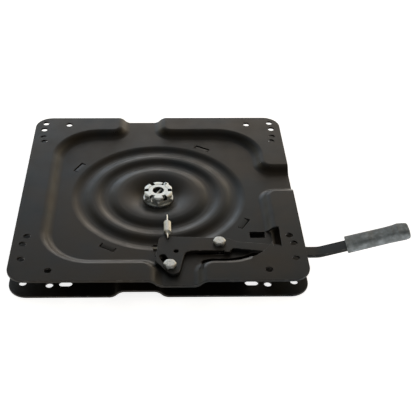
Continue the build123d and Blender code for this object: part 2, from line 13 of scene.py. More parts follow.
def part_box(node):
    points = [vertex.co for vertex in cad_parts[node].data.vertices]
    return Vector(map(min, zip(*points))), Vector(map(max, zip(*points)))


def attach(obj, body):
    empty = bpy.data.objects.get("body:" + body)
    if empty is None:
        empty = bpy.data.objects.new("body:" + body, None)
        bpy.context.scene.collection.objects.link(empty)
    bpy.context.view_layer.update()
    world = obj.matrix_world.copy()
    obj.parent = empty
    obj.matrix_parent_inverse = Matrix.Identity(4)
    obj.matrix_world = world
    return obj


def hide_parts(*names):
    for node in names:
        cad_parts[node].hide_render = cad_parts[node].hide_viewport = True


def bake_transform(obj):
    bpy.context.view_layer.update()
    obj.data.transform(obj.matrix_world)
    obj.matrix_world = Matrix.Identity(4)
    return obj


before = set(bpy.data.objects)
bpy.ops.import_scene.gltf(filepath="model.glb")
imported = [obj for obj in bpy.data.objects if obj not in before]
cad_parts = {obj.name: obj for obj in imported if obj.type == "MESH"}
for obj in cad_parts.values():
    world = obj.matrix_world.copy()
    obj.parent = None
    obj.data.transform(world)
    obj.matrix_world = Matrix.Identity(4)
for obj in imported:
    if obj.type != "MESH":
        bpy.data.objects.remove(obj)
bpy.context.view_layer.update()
MM = 0.001

# %% [markdown]
# ## Camera
# The photograph was taken from the front and above, with a long lens, and the object sits to the left
# of the lens axis. The camera looks along a line through a point on the top plate's rim plane, from
# which the direction, the distance and the small roll are set out.

# %% Set the camera
CAMERA_TARGET = Vector((16.85, -38.75, 25.0)) * MM
CAMERA_DISTANCE = 1019.8 * MM
CAMERA_ELEVATION = radians(37.669)
CAMERA_YAW = radians(-1.283)
CAMERA_ROLL = radians(0.552)
FRAME_PIXELS = 416
FOCAL_PIXELS = 846.47
AXIS_PIXEL = 172.37
SENSOR_WIDTH = 36.0
NEAR_CLIP = 50 * MM

backward = Vector((
    sin(CAMERA_YAW) * cos(CAMERA_ELEVATION),
    -cos(CAMERA_YAW) * cos(CAMERA_ELEVATION),
    sin(CAMERA_ELEVATION),
))
level_right = Vector((cos(CAMERA_YAW), sin(CAMERA_YAW), 0.0))
level_up = backward.cross(level_right)
right = level_right * cos(CAMERA_ROLL) + level_up * sin(CAMERA_ROLL)
up = level_up * cos(CAMERA_ROLL) - level_right * sin(CAMERA_ROLL)
aim = Matrix((right, up, backward)).transposed().to_4x4()
stand = Matrix.Translation(CAMERA_TARGET + backward * CAMERA_DISTANCE)

lens = bpy.data.cameras.new("studio_camera")
lens.sensor_width = SENSOR_WIDTH
lens.lens = FOCAL_PIXELS / FRAME_PIXELS * SENSOR_WIDTH
lens.shift_x = (FRAME_PIXELS / 2 - AXIS_PIXEL) / FRAME_PIXELS
lens.clip_start = NEAR_CLIP
camera = bpy.data.objects.new("studio_camera", lens)
camera.matrix_world = stand @ aim
bpy.context.scene.collection.objects.link(camera)
bpy.context.scene.camera = camera
print("camera at", [round(value, 3) for value in camera.matrix_world.translation])

# %% [markdown]
# ## Helpers for finishes
# A finish is a small tree of shader nodes. One function adds a node, sets its sockets and links them,
# and another turns a colour as a screen shows it into the linear light that a shader works in.


# %% Node and colour helpers
def linear(code):
    """Linear RGBA of an sRGB hex colour."""
    channels = [int(code[at:at + 2], 16) / 255 for at in (1, 3, 5)]
    return [c / 12.92 if c <= 0.04045 else ((c + 0.055) / 1.055) ** 2.4 for c in channels] + [1.0]


def add_node(tree, kind, sockets, stops=(), **settings):
    """New node with its settings and colour stops; a socket takes a value, or a link as (node, output)."""
    node = tree.nodes.new(kind)
    for name, value in settings.items():
        setattr(node, name, value)
    for place, (position, code) in enumerate(stops):
        elements = node.color_ramp.elements
        element = elements[place] if place < len(elements) else elements.new(position)
        element.position = position
        element.color = linear(code)
    for socket, value in sockets.items():
        if isinstance(value, tuple):
            tree.links.new(value[0].outputs[value[1]], node.inputs[socket])
        else:
            node.inputs[socket].default_value = value
    return node


def new_finish(name):
    """Empty material, its node tree and a link to its Object coordinates."""
    material = bpy.data.materials.new(name)
    material.use_nodes = True
    tree = material.node_tree
    tree.nodes.clear()
    return material, tree, (add_node(tree, "ShaderNodeTexCoord", {}), "Object")


# %% [markdown]
# ## Studio floor
# The object stood on white paper that shows no edge and hardly a shadow. A floor that only reflects
# comes out grey, so this large sheet also glows a little, as paper does that is lit from all sides. It
# lies just under the object, and its shade has faint clouds.

# %% Floor
FLOOR_SIZE = 12.0
FLOOR_DROP = 0.3 * MM
FLOOR_GLOW = 0.88
PAPER_CLOUD = 60 * MM
PAPER_SHADES = [(0.3, "#f4f4f4"), (0.7, "#fafafa")]
PAPER_ROUGHNESS = 0.85

paper, tree, where = new_finish("white_studio_paper")
cloud = add_node(tree, "ShaderNodeTexNoise", {"Vector": where, "Scale": 1 / PAPER_CLOUD})
shade = add_node(tree, "ShaderNodeValToRGB", {"Fac": (cloud, "Fac")}, PAPER_SHADES)
white = {"Base Color": (shade, "Color"), "Roughness": PAPER_ROUGHNESS}
white |= {"Emission Color": (shade, "Color"), "Emission Strength": FLOOR_GLOW}
shader = add_node(tree, "ShaderNodeBsdfPrincipled", white)
add_node(tree, "ShaderNodeOutputMaterial", {"Surface": (shader, "BSDF")})

sheet = bmesh.new()
bmesh.ops.create_grid(sheet, x_segments=2, y_segments=2, size=FLOOR_SIZE)
bmesh.ops.translate(sheet, verts=sheet.verts, vec=(0, 0, -FLOOR_DROP))
floor_mesh = bpy.data.meshes.new("studio_floor")
sheet.to_mesh(floor_mesh)
sheet.free()
floor_mesh.materials.append(paper)
floor = bpy.data.objects.new("studio_floor", floor_mesh)
bpy.context.scene.collection.objects.link(floor)
print("floor", FLOOR_SIZE * 2, "m wide")

# %% [markdown]
# ## Studio sky
# The light came from behind: the flat rims show a pale sheen, and what faces the camera stays nearly
# black. A lamp would show as a spot in the coat, so a sky gives the light instead. It is bright low down
# behind the object, much dimmer higher up and in front, and a little cooler on the left than on the
# right, as beside a window.

# %% Sky
SKY_HEIGHTS = [
    (0.0, "#ececec"), (0.25, "#dedede"), (0.42, "#b8b8b8"), (0.55, "#828282"), (0.68, "#444444"),
    (0.85, "#545454"), (0.97, "#6a6a6a"),
]
SKY_SIDES = [(0.2, "#96948a"), (0.41, "#e2eefa"), (0.5, "#fff8f0"), (0.8, "#c4b69e")]
SKY_FRONT = 1.3
SKY_BACK = 5.0
SKY_EDGE = 0.5
# A Mix node has sockets of one name for each kind of value, so those for colours go by their places
MIX_FACTOR, MIX_FIRST, MIX_SECOND, MIX_RESULT = 0, 6, 7, 2

world = bpy.data.worlds.new("studio_sky")
world.use_nodes = True
bpy.context.scene.world = world
tree = world.node_tree
tree.nodes.clear()
direction = add_node(tree, "ShaderNodeTexCoord", {})
axes = add_node(tree, "ShaderNodeSeparateXYZ", {"Vector": (direction, "Generated")})
height = add_node(tree, "ShaderNodeValToRGB", {"Fac": (axes, "Z")}, SKY_HEIGHTS)
across = add_node(tree, "ShaderNodeMapRange", {"Value": (axes, "X"), "From Min": -1.0})
tint = add_node(tree, "ShaderNodeValToRGB", {"Fac": (across, "Result")}, SKY_SIDES)
tinted = {MIX_FACTOR: 1.0, MIX_FIRST: (height, "Color"), MIX_SECOND: (tint, "Color")}
colour = add_node(tree, "ShaderNodeMix", tinted, data_type="RGBA", blend_type="MULTIPLY")
side = {"Value": (axes, "Y"), "From Min": -SKY_EDGE, "From Max": SKY_EDGE}
side |= {"To Min": SKY_FRONT, "To Max": SKY_BACK}
behind = add_node(tree, "ShaderNodeMapRange", side, interpolation_type="SMOOTHSTEP")
light = {"Color": (colour, MIX_RESULT), "Strength": (behind, "Result")}
glow = add_node(tree, "ShaderNodeBackground", light)
add_node(tree, "ShaderNodeOutputWorld", {"Surface": (glow, "Background")})

bpy.context.scene.view_settings.view_transform = "Standard"
print("sky", round(SKY_BACK / SKY_FRONT, 1), "times as bright behind as in front")

# %% [markdown]
# ## Black coat
# The plates and the lever are pressed and cut steel with a black electrocoat: a thin dip paint, warm
# grey-black, half gloss, with a faint orange peel and cloudy patches where hands and dust have dulled
# it. It thins out on sharp edges, where the grey steel starts to show, and the same pale colour in
# patches on the edges is also a painted highlight. Both follow an attribute that the rounding of the cut
# edges leaves on the mesh.

# %% Black electrocoat
# The edge attribute marks worn coat and a painted highlight on the rounded edges
EDGE_WEAR_AND_HIGHLIGHT = "edge_wear_and_painted_highlight"
NOISE_LOW, NOISE_HIGH = 0.3, 0.7
FILM_CLOUD = 70 * MM
FILM_SHADES = [(0.35, "#1c1813"), (0.5, "#191715"), (0.65, "#161819")]
SHEEN = 0.25
SHEEN_TINTS = [(0.35, "#fff0da"), (0.5, "#fbf6ee"), (0.65, "#dfe9f0")]
GLOSS_CLOUD = 22 * MM
COAT_ROUGHNESS = (0.36, 0.48)
CLOUD_DETAIL = 3.0
CHIP = 7 * MM
CHIP_DETAIL = 5.0
CHIP_WEAR_AND_HIGHLIGHT = (-0.5, 0.55)
BARE_STEEL_AND_HIGHLIGHT = "#7d7a76"
ORANGE_PEEL = 2.6 * MM
PEEL_DEPTH = 0.05 * MM
PEEL_STRENGTH = 0.25


def black_electrocoat():
    """Black coat with clouds of colour and gloss, an orange peel and thin edges."""
    coat, tree, where = new_finish("black_electrocoat_on_pressed_steel")
    cloud = {"Vector": where, "Scale": 1 / FILM_CLOUD, "Detail": CLOUD_DETAIL}
    cloud = add_node(tree, "ShaderNodeTexNoise", cloud)
    film = add_node(tree, "ShaderNodeValToRGB", {"Fac": (cloud, "Fac")}, FILM_SHADES)
    sheen = add_node(tree, "ShaderNodeValToRGB", {"Fac": (cloud, "Fac")}, SHEEN_TINTS)

    # Chips are patches of noise, kept only where the mesh says that the coat is thin; they are worn coat
    # and painted edge highlight in one
    chips = {"Vector": where, "Scale": 1 / CHIP, "Detail": CHIP_DETAIL}
    chips = add_node(tree, "ShaderNodeTexNoise", chips)
    spots = {"Value": (chips, "Fac"), "From Min": NOISE_LOW, "From Max": NOISE_HIGH}
    spots |= {"To Min": CHIP_WEAR_AND_HIGHLIGHT[0], "To Max": CHIP_WEAR_AND_HIGHLIGHT[1]}
    spots = add_node(tree, "ShaderNodeMapRange", spots)
    edge = add_node(tree, "ShaderNodeAttribute", {}, attribute_name=EDGE_WEAR_AND_HIGHLIGHT)
    # Worn coat and painted highlight: pale steel colour mixed in on the marked edges
    thin_coat_and_highlight = {0: (edge, "Fac"), 1: (spots, "Result")}
    wear = add_node(tree, "ShaderNodeMath", thin_coat_and_highlight, operation="MULTIPLY", use_clamp=True)
    bare_steel_and_highlight_mix = {MIX_FACTOR: (wear, "Value"), MIX_FIRST: (film, "Color"), MIX_SECOND: linear(BARE_STEEL_AND_HIGHLIGHT)}
    colour = add_node(tree, "ShaderNodeMix", bare_steel_and_highlight_mix, data_type="RGBA")

    dull = {"Vector": where, "Scale": 1 / GLOSS_CLOUD, "Detail": CLOUD_DETAIL}
    dull = add_node(tree, "ShaderNodeTexNoise", dull)
    gloss = {"Value": (dull, "Fac"), "From Min": NOISE_LOW, "From Max": NOISE_HIGH}
    gloss |= {"To Min": COAT_ROUGHNESS[0], "To Max": COAT_ROUGHNESS[1]}
    gloss = add_node(tree, "ShaderNodeMapRange", gloss)
    peel = add_node(tree, "ShaderNodeTexNoise", {"Vector": where, "Scale": 1 / ORANGE_PEEL})
    skin = {"Height": (peel, "Fac"), "Distance": PEEL_DEPTH, "Strength": PEEL_STRENGTH}
    skin = add_node(tree, "ShaderNodeBump", skin)
    surface = {"Base Color": (colour, MIX_RESULT), "Roughness": (gloss, "Result")}
    surface |= {"Specular IOR Level": SHEEN, "Specular Tint": (sheen, "Color"), "Normal": (skin, "Normal")}
    shader = add_node(tree, "ShaderNodeBsdfPrincipled", surface)
    add_node(tree, "ShaderNodeOutputMaterial", {"Surface": (shader, "BSDF")})
    return coat


coat = black_electrocoat()
print("coat:", len(coat.node_tree.nodes), "nodes")

# %% [markdown]
# ## Metals and plastics
# The nut, the spindle, the split pin and the washers are zinc plated: a pale, slightly blue metal with
# cloudy patches. The tooth is plain machined steel, darker and brownish. The glide ring and the bush are
# natural moulded nylon, milky and half matt. The grip is a dipped vinyl sleeve, blue-grey, with a soft
# waxy sheen, a fine pebble and cloudy patches where hands have been. Each has clouds of colour and gloss
# over a fine relief, so one function mixes them from their own values, and later pieces use it too. Real
# grain is finer than a pixel of the picture, so it is drawn about a millimetre wide.

# %% Zinc, steel, nylon and vinyl
FINISH_DETAIL = 4.0


def clouded_finish(name, shades, cloud_mm, rough, grain_mm, depth_mm, relief, **uniform):
    """Finish with clouds of colour and gloss, and a fine grain in relief."""
    finish, tree, where = new_finish(name)
    cloud = {"Vector": where, "Scale": 1 / (cloud_mm * MM), "Detail": FINISH_DETAIL}
    cloud = add_node(tree, "ShaderNodeTexNoise", cloud)
    colour = add_node(tree, "ShaderNodeValToRGB", {"Fac": (cloud, "Fac")}, shades)
    gloss = {"Value": (cloud, "Fac"), "From Min": NOISE_LOW, "From Max": NOISE_HIGH}
    gloss |= {"To Min": rough[0], "To Max": rough[1]}
    gloss = add_node(tree, "ShaderNodeMapRange", gloss)
    grain = add_node(tree, "ShaderNodeTexNoise", {"Vector": where, "Scale": 1 / (grain_mm * MM)})
    skin = {"Height": (grain, "Fac"), "Distance": depth_mm * MM, "Strength": relief}
    skin = add_node(tree, "ShaderNodeBump", skin)
    surface = {"Base Color": (colour, "Color"), "Roughness": (gloss, "Result"), "Normal": (skin, "Normal")}
    shader = add_node(tree, "ShaderNodeBsdfPrincipled", surface | uniform)
    add_node(tree, "ShaderNodeOutputMaterial", {"Surface": (shader, "BSDF")})
    return finish


zinc = clouded_finish(
    "zinc_plate_bright_dipped", [(0.3, "#c9d0d3"), (0.55, "#e6eae9"), (0.75, "#dedbd0")], cloud_mm=4.0,
    rough=(0.42, 0.6), grain_mm=1.2, depth_mm=0.05, relief=0.4, Metallic=1.0,
)
steel = clouded_finish(
    "plain_steel_machined", [(0.35, "#6f6a64"), (0.6, "#8b8780"), (0.75, "#7a6f62")], cloud_mm=6.0,
    rough=(0.32, 0.5), grain_mm=0.9, depth_mm=0.03, relief=0.35, Metallic=1.0,
)
nylon = clouded_finish(
    "natural_nylon_moulded", [(0.35, "#ddd6c4"), (0.65, "#e9e3d4")], cloud_mm=9.0,
    rough=(0.4, 0.55), grain_mm=1.5, depth_mm=0.03, relief=0.3, IOR=1.53,
)
vinyl = clouded_finish(
    "dipped_vinyl_sleeve", [(0.3, "#5c6264"), (0.5, "#747b7e"), (0.68, "#949ca1")], cloud_mm=7.0,
    rough=(0.55, 0.75), grain_mm=1.6, depth_mm=0.12, relief=0.6, IOR=1.52,
)
print("finishes:", [finish.name for finish in (zinc, steel, nylon, vinyl)])

# %% [markdown]
# ## Copies of the CAD solids
# Most pieces start from a copy of their CAD solid. Its mesh is loose triangles, and a bevel needs whole
# faces, so the copy is merged and its flat triangles are joined. Where no operator on edges or faces
# gives a cut, a boolean with a second shape does.

# %% Copying and cutting
MERGE = 0.01 * MM
FLAT = radians(0.8)


def join_flat(shape):
    """Joins the faces of a shape that lie in one plane."""
    bmesh.ops.dissolve_limit(shape, angle_limit=FLAT, verts=shape.verts, edges=shape.edges)


def joined_copy(node):
    """Bmesh of a CAD node, its loose triangles joined into whole faces."""
    shape = bmesh.new()
    shape.from_mesh(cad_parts[node].data)
    bmesh.ops.remove_doubles(shape, verts=shape.verts, dist=MERGE)
    join_flat(shape)
    return shape


def combined(shape, tool_shape, operation):
    """Shape left by a boolean operation of a tool's shape on another; both are used up."""
    solids = []
    for part in (shape, tool_shape):
        mesh = bpy.data.meshes.new("blank")
        part.to_mesh(mesh)
        part.free()
        solids.append(bpy.data.objects.new("blank", mesh))
        bpy.context.scene.collection.objects.link(solids[-1])
    tool = solids[0].modifiers.new("tool", "BOOLEAN")
    tool.operation = operation
    tool.solver = "EXACT"
    tool.object = solids[1]
    left = bmesh.new()
    left.from_object(solids[0], bpy.context.evaluated_depsgraph_get())
    for solid in solids:
        bpy.data.objects.remove(solid)
    bmesh.ops.remove_doubles(left, verts=left.verts, dist=MERGE)
    return left


# %% [markdown]
# ## Rounded edges
# The CAD solids have sharp edges. A real press rounds each bend, and the bends are what the eye reads,
# as soft bands of light. A modifier would round too many edges alike, so each group of edges is picked
# by how far its faces turn and gets its own bevel, which also marks where the coat wears thin and where
# the edges get a painted highlight.

# %% Rounding, and adding a piece
CREASE = radians(28)


def edges_turning(shape, turn):
    """Edges whose two faces turn by an angle between the two of turn, in degrees."""
    low, high = [radians(limit) for limit in turn]
    return [edge for edge in shape.edges if low < edge.calc_face_angle(0.0) < high]


def round_edges(shape, edges, size_mm, segments, wear=0.0):
    """Rounds edges by size_mm along their faces and notes how much worn coat and painted highlight they
    get.
    """
    mark = shape.faces.layers.float.get(EDGE_WEAR_AND_HIGHLIGHT) or shape.faces.layers.float.new(EDGE_WEAR_AND_HIGHLIGHT)
    rounded = bmesh.ops.bevel(
        shape, geom=edges, offset=size_mm * MM, offset_type="OFFSET", affect="EDGES",
        segments=segments, profile=0.5, material=-1, loop_slide=False, clamp_overlap=False,
    )
    for face in rounded["faces"]:
        face[mark] = wear


def add_piece(shape, name, body, finish, slot, *nodes, crease=CREASE):
    """Turns a bmesh into a piece that rides on a body and stands for CAD nodes."""
    for face in shape.faces:
        face.smooth = True
    mesh = bpy.data.meshes.new(name)
    shape.to_mesh(mesh)
    shape.free()
    mesh.set_sharp_from_angle(angle=crease)
    mesh.materials.append(finish)
    piece = bpy.data.objects.new(name, mesh)
    bpy.context.scene.collection.objects.link(piece)
    piece.modifiers.new("even_normals", "WEIGHTED_NORMAL").keep_sharp = True
    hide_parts(*nodes)
    if body:
        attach(piece, body)
    print(name, "has", len(mesh.polygons), "faces")
    return piece


# %% [markdown]
# ## The bottom plate
# All cuts through the sheet of a plate are upright, and the pressed faces never are, so the slope of an
# edge's two faces tells a bend from a cut edge. The shallow ring swages are rounded into soft waves, the
# steeper pan walls a little more, and the cut edges are only broken. The bottom plate needs no more.

# %% Press the bottom plate
UPRIGHT = 0.2
SWAGE_TURN = (18, 34)
SWAGE_ROUND = 3.2
WALL_TURN = (34, 64)
WALL_ROUND = 4.2
BEND_SEGMENTS = 5
CUT_TURN = (30, 140)
CUT_ROUND = 0.35
CUT_SEGMENTS = 2


def is_cut(edge):
    """True where one of an edge's faces is an upright cut and the other isn't."""
    upright = [abs(face.normal.z) < UPRIGHT for face in edge.link_faces]
    return any(upright) and not all(upright)


def round_bends(shape):
    """Rounds the ring swages and the pan walls of a plate."""
    for turn, size in ((SWAGE_TURN, SWAGE_ROUND), (WALL_TURN, WALL_ROUND)):
        shape.normal_update()
        bends = [edge for edge in edges_turning(shape, turn) if not is_cut(edge)]
        round_edges(shape, bends, size, BEND_SEGMENTS)


def add_plate(shape, node, body):
    """Breaks the cut edges of a plate and adds it."""
    shape.normal_update()
    cuts = [edge for edge in edges_turning(shape, CUT_TURN) if is_cut(edge)]
    # Worn coat and painted highlight on the broken cut edges
    round_edges(shape, cuts, CUT_ROUND, CUT_SEGMENTS, wear=1.0)
    add_piece(shape, node + "_pressed", body, coat, "black_coat", node)


bottom = joined_copy("bottom_plate")
round_bends(bottom)
add_plate(bottom, "bottom_plate", "base")

# %% [markdown]
# ## The top plate's middle
# In the middle of the top plate the bends are wide, and its dome and dish run into each other as one
# soft bowl. A wide bevel needs clean facets, which the copy lacks there. So the middle is taken out, and
# the radius and height of each of its bends are kept, with the bearings of the corners round its edge.

# %% Take out the middle
MIDDLE_R = 76.8 * MM
MIDDLE_TURN = (18, 100)
RING_DIGITS = 5
WIRE_R = 0.7 * MM
SPRING_HOLE_R = 1.7 * MM

spring_low, spring_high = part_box("return_spring")
spring_x = (spring_low.x + spring_high.x) / 2
spring_hole = Vector((spring_x, spring_high.y - WIRE_R))


def is_middle(vert):
    """True for a corner of the middle that doesn't lie on the spring's hole."""
    place = vert.co.to_2d()
    return place.length < MIDDLE_R and (place - spring_hole).length > SPRING_HOLE_R + MERGE


def ring_of(vert):
    """Radius and height of a corner, rounded so that all corners of a ring share them."""
    return round(vert.co.to_2d().length, RING_DIGITS), round(vert.co.z, RING_DIGITS)


def take_middle(shape):
    """Takes the middle out; returns its bends, each below and above, and the bearings round its edge."""
    corners = {vert for edge in edges_turning(shape, MIDDLE_TURN) for vert in edge.verts if is_middle(vert)}
    rings = sorted({ring_of(vert) for vert in corners})
    bearings = [atan2(vert.co.y, vert.co.x) for vert in corners if ring_of(vert) == rings[-1]]
    middle = [face for face in shape.faces if all(vert.co.to_2d().length < MIDDLE_R for vert in face.verts)]
    bmesh.ops.delete(shape, geom=middle, context="FACES")
    bends = [sorted(pair, key=lambda ring: ring[1]) for pair in zip(rings[::2], rings[1::2])]
    return bends, sorted(bearings)


top = joined_copy("top_plate")
middle_bends, edge_bearings = take_middle(top)
print("taken out: a middle with", len(middle_bends), "bends, of", len(edge_bearings), "facets round")

# %% [markdown]
# ## The top plate
# A half section of the middle is drawn through the kept bends, bevelled at its corners and spun. The spin
# starts at one of the corners round the edge and has as many steps as there are corners, so the two weld.
# The rest is rounded as on the bottom plate. The spring's hole lies on the new curve and is drilled again.

# %% Press the top plate
# Sizes in millimetres, from the dish's foot out
MIDDLE_ROUNDS = (3.2, 10.3, 4.8, 2.2, 3.2)
MIDDLE_SEGMENTS = 8
DRILL_LENGTH = 20 * MM
DRILL_SIDES = 32


def spin_middle(shape, bends, bearings):
    """Spins the middle from a half section with wide bends, and welds it into the shape."""
    section = bmesh.new()
    under, over = [
        [section.verts.new((pair[level][0], 0, pair[level][1])) for pair in bends] for level in (0, 1)
    ]
    section.faces.new(over[::-1] + under)
    for size, *corners in zip(MIDDLE_ROUNDS, over[1:], under[1:]):
        bmesh.ops.bevel(
            section, geom=corners, offset=size * MM, offset_type="OFFSET", affect="VERTICES",
            segments=MIDDLE_SEGMENTS, profile=0.5, material=-1,
        )
    bmesh.ops.delete(section, geom=section.faces[:], context="FACES_ONLY")
    section.edges.remove(section.edges.get((over[-1], under[-1])))
    bmesh.ops.spin(
        section, geom=section.verts[:] + section.edges[:], cent=(0, 0, 0), axis=(0, 0, 1),
        angle=2 * pi, steps=len(bearings), use_merge=True,
    )
    bmesh.ops.rotate(section, verts=section.verts, matrix=Matrix.Rotation(bearings[0], 3, "Z"))
    mesh = bpy.data.meshes.new("top_plate_middle")
    section.to_mesh(mesh)
    section.free()
    shape.from_mesh(mesh)
    bpy.data.meshes.remove(mesh)
    bmesh.ops.remove_doubles(shape, verts=shape.verts, dist=MERGE)
    bmesh.ops.recalc_face_normals(shape, faces=shape.faces)


spin_middle(top, middle_bends, edge_bearings)
round_bends(top)
print("open edges after the spin:", sum(edge.is_boundary for edge in top.edges))
drill = bmesh.new()
bmesh.ops.create_cone(
    drill, cap_ends=True, segments=DRILL_SIDES, radius1=SPRING_HOLE_R, radius2=SPRING_HOLE_R,
    depth=DRILL_LENGTH, matrix=Matrix.Translation((*spring_hole, spring_low.z)),
)
add_plate(combined(top, drill, "DIFFERENCE"), "top_plate", "turntable")

# %% [markdown]
# ## Release lever
# The lever is cut from thicker plate and bent once. Its outline is right in the CAD solid, so a copy of
# it only has its sharp edges broken, where the coat has worn to a thin pale line that is also a painted
# highlight.

# %% Break the lever's edges
LEVER_TURN = (70, 125)
LEVER_ROUND = 0.6
LEVER_SEGMENTS = 3

lever = joined_copy("release_lever")
# Worn coat and painted highlight on the lever's broken edges
round_edges(lever, edges_turning(lever, LEVER_TURN), LEVER_ROUND, LEVER_SEGMENTS, wear=1.0)
add_piece(lever, "release_lever_blank", "lever", coat, "black_coat", "release_lever")

# %% [markdown]
# ## Turned corners on the hexagons
# The nut and the bolt heads start as plain hexagons. On the real ones a lathe has taken the corners off
# with a shallow cone, which leaves a curved line on each flat. A bevel can't give that line, so a blank
# is turned by spinning a half profile, and only what the hexagon and the blank share is kept.

# %% Turning
SPIN_STEPS = 64
CONE_SLOPE = tan(radians(30))
ROOM = 2 * MM
METAL_ROUND = 0.3
METAL_SEGMENTS = 2


def turned_blank(profile, axis):
    """Solid spun from a half profile of (radius, height) points about an upright axis."""
    blank = bmesh.new()
    corners = [blank.verts.new(axis + Vector((radius, 0, height))) for radius, height in profile]
    edges = [blank.edges.new(pair) for pair in zip(corners, corners[1:])]
    bmesh.ops.spin(
        blank, geom=corners + edges, cent=axis, axis=(0, 0, 1), angle=2 * pi, steps=SPIN_STEPS,
        use_merge=True,
    )
    bmesh.ops.remove_doubles(blank, verts=blank.verts, dist=MERGE)
    bmesh.ops.recalc_face_normals(blank, faces=blank.faces)
    return blank


def turned(node, profile, axis):
    """Copy of a CAD node, kept only where a blank turned from the profile reaches."""
    shape = combined(joined_copy(node), turned_blank(profile, axis), "INTERSECT")
    join_flat(shape)
    return shape


# %% [markdown]
# ## Castle nut
# The nut's crown is turned a little smaller than its hexagon, so that each lug is round outside, and its
# top has the cone. The profile of its blank is worked out from the nut's box in the frame.

# %% Turn the nut
CROWN_OUT = 1.4 * MM
CROWN_DEPTH = 5.6 * MM
CROWN_CONE = 1.2 * MM
SHOULDER = 0.6 * MM
NUT_TURN = (25, 130)

nut_low, nut_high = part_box("castle_nut")
crown_r = (nut_high.x - nut_low.x) / 2 + CROWN_OUT
crown_z = nut_high.z - CROWN_DEPTH
nut_profile = [
    (0, nut_low.z - ROOM),
    (nut_high.y + ROOM, nut_low.z - ROOM),
    (nut_high.y + ROOM, crown_z - SHOULDER),
    (nut_high.y, crown_z - SHOULDER),
    (crown_r, crown_z),
    (crown_r, nut_high.z - CROWN_CONE),
    (crown_r - (CROWN_CONE + ROOM) / CONE_SLOPE, nut_high.z + ROOM),
    (0, nut_high.z + ROOM),
]
nut = turned("castle_nut", nut_profile, Vector())
round_edges(nut, edges_turning(nut, NUT_TURN), METAL_ROUND, METAL_SEGMENTS)
print("nut turned to a crown", round(2 * crown_r / MM, 1), "mm across")

# %% [markdown]
# ## The nut's slots
# The slots are narrow recesses, and their faces take a second, nearly black steel finish with hardly a
# shine, as painted shade. Those faces are found by where their corners lie.

# %% Darken the slots
NUT_SLOT_HALF = 2.5 * MM
NUT_SLOT_DEPTH = 6.0 * MM
NUT_SLOT_BEARINGS = (0, 60, 120)

# Painted shade: a nearly black steel finish for the faces in the nut's slots and the spindle's bore
painted_recess_shade = clouded_finish(
    "painted_shade_dark_steel", [(0.35, "#26231f"), (0.65, "#383430")], cloud_mm=5.0,
    rough=(0.35, 0.5), grain_mm=0.9, depth_mm=0.03, relief=0.3, Metallic=1.0,
)


def is_in_slot(face, bearing):
    """True for a face that lies wholly in the nut's slot that runs along a bearing."""
    along = Vector((cos(radians(bearing)), sin(radians(bearing))))
    return all(
        abs(along.cross(vert.co.to_2d())) < NUT_SLOT_HALF + MERGE
        and vert.co.z > nut_high.z - NUT_SLOT_DEPTH - MERGE
        for vert in face.verts
    )


# Painted shade: the faces in the slots take the nearly black finish
for face in nut.faces:
    face.material_index = int(any(is_in_slot(face, bearing) for bearing in NUT_SLOT_BEARINGS))
nut = add_piece(nut, "castle_nut_turned", "base", zinc, "zinc_plate", "castle_nut")
nut.data.materials.append(painted_recess_shade)

# %% [markdown]
# ## Washer and spindle
# A punched washer lies under the nut, and the hollow spindle ends just under its crown. Both have the
# right form in CAD and only get broken edges. The faces in the spindle's bore take the same nearly black
# finish as the nut's slots, as painted shade.

# %% Washer and spindle
WASHER_TURN = (70, 110)
SPINDLE_TURN = (50, 110)
BORE_R = 7.0 * MM

washer = joined_copy("nut_washer")
round_edges(washer, edges_turning(washer, WASHER_TURN), METAL_ROUND, METAL_SEGMENTS)
add_piece(washer, "nut_washer_punched", "base", zinc, "zinc_plate", "nut_washer")

spindle = joined_copy("pivot_spindle")
round_edges(spindle, edges_turning(spindle, SPINDLE_TURN), METAL_ROUND, METAL_SEGMENTS)
# Painted shade: the faces in the bore take the nearly black finish
for face in spindle.faces:
    face.material_index = int(all(vert.co.to_2d().length < BORE_R + MERGE for vert in face.verts))
spindle = add_piece(spindle, "pivot_spindle_drilled", "base", zinc, "zinc_plate", "pivot_spindle")
spindle.data.materials.append(painted_recess_shade)

# %% [markdown]
# ## Swept wire
# The split pin and the spring are bent from wire. A face drawn as the wire's section is pushed straight
# ahead or spun round a bend, and each move starts from the face where the last one ended, as a wire
# bender works.


# %% Wire bending
def push(shape, face, move):
    """Runs the section straight on; returns the face at the end."""
    grown = bmesh.ops.extrude_face_region(shape, geom=[face])["geom"]
    corners = [item for item in grown if isinstance(item, bmesh.types.BMVert)]
    bmesh.ops.translate(shape, verts=corners, vec=move)
    return next(item for item in grown if isinstance(item, bmesh.types.BMFace))


def bend(shape, face, centre, axis, angle, steps, climb=(0, 0, 0)):
    """Spins the section round a bend, with an even climb at each step; returns the face at the end."""
    swept = bmesh.ops.spin(
        shape, geom=[face], cent=centre, axis=axis, dvec=climb, angle=angle, steps=steps, use_merge=False,
    )
    return next(item for item in swept["geom_last"] if isinstance(item, bmesh.types.BMFace))


# %% [markdown]
# ## Split pin
# A split pin is half-round wire, folded flat to flat round an eye. One half is bent here, from the eye
# to the splayed tip, and mirrored. It is then turned to its slot in the nut.

# %% Split pin
PIN_R = 1.6 * MM
PIN_SIDES = 20
PIN_EYE = Vector((19.7, 0, 0)) * MM
EYE_R = 1.9 * MM
EYE_STEPS = 14
NECK_R = 2.2 * MM
NECK_STEPS = 6
SPLAY_R = 2.5 * MM
SPLAY_X = -17.5 * MM
SPLAY = radians(35)
SPLAY_STEPS = 5
TIP = 4.0 * MM
PIN_BEARING = radians(60)
WIRE_CREASE = radians(50)

neck_x = PIN_EYE.x - sqrt((EYE_R + NECK_R) ** 2 - NECK_R ** 2)
neck_turn = acos(NECK_R / (EYE_R + NECK_R))
pin_low, pin_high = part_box("split_pin")
eye_back = PIN_EYE + Vector((EYE_R, 0, 0))

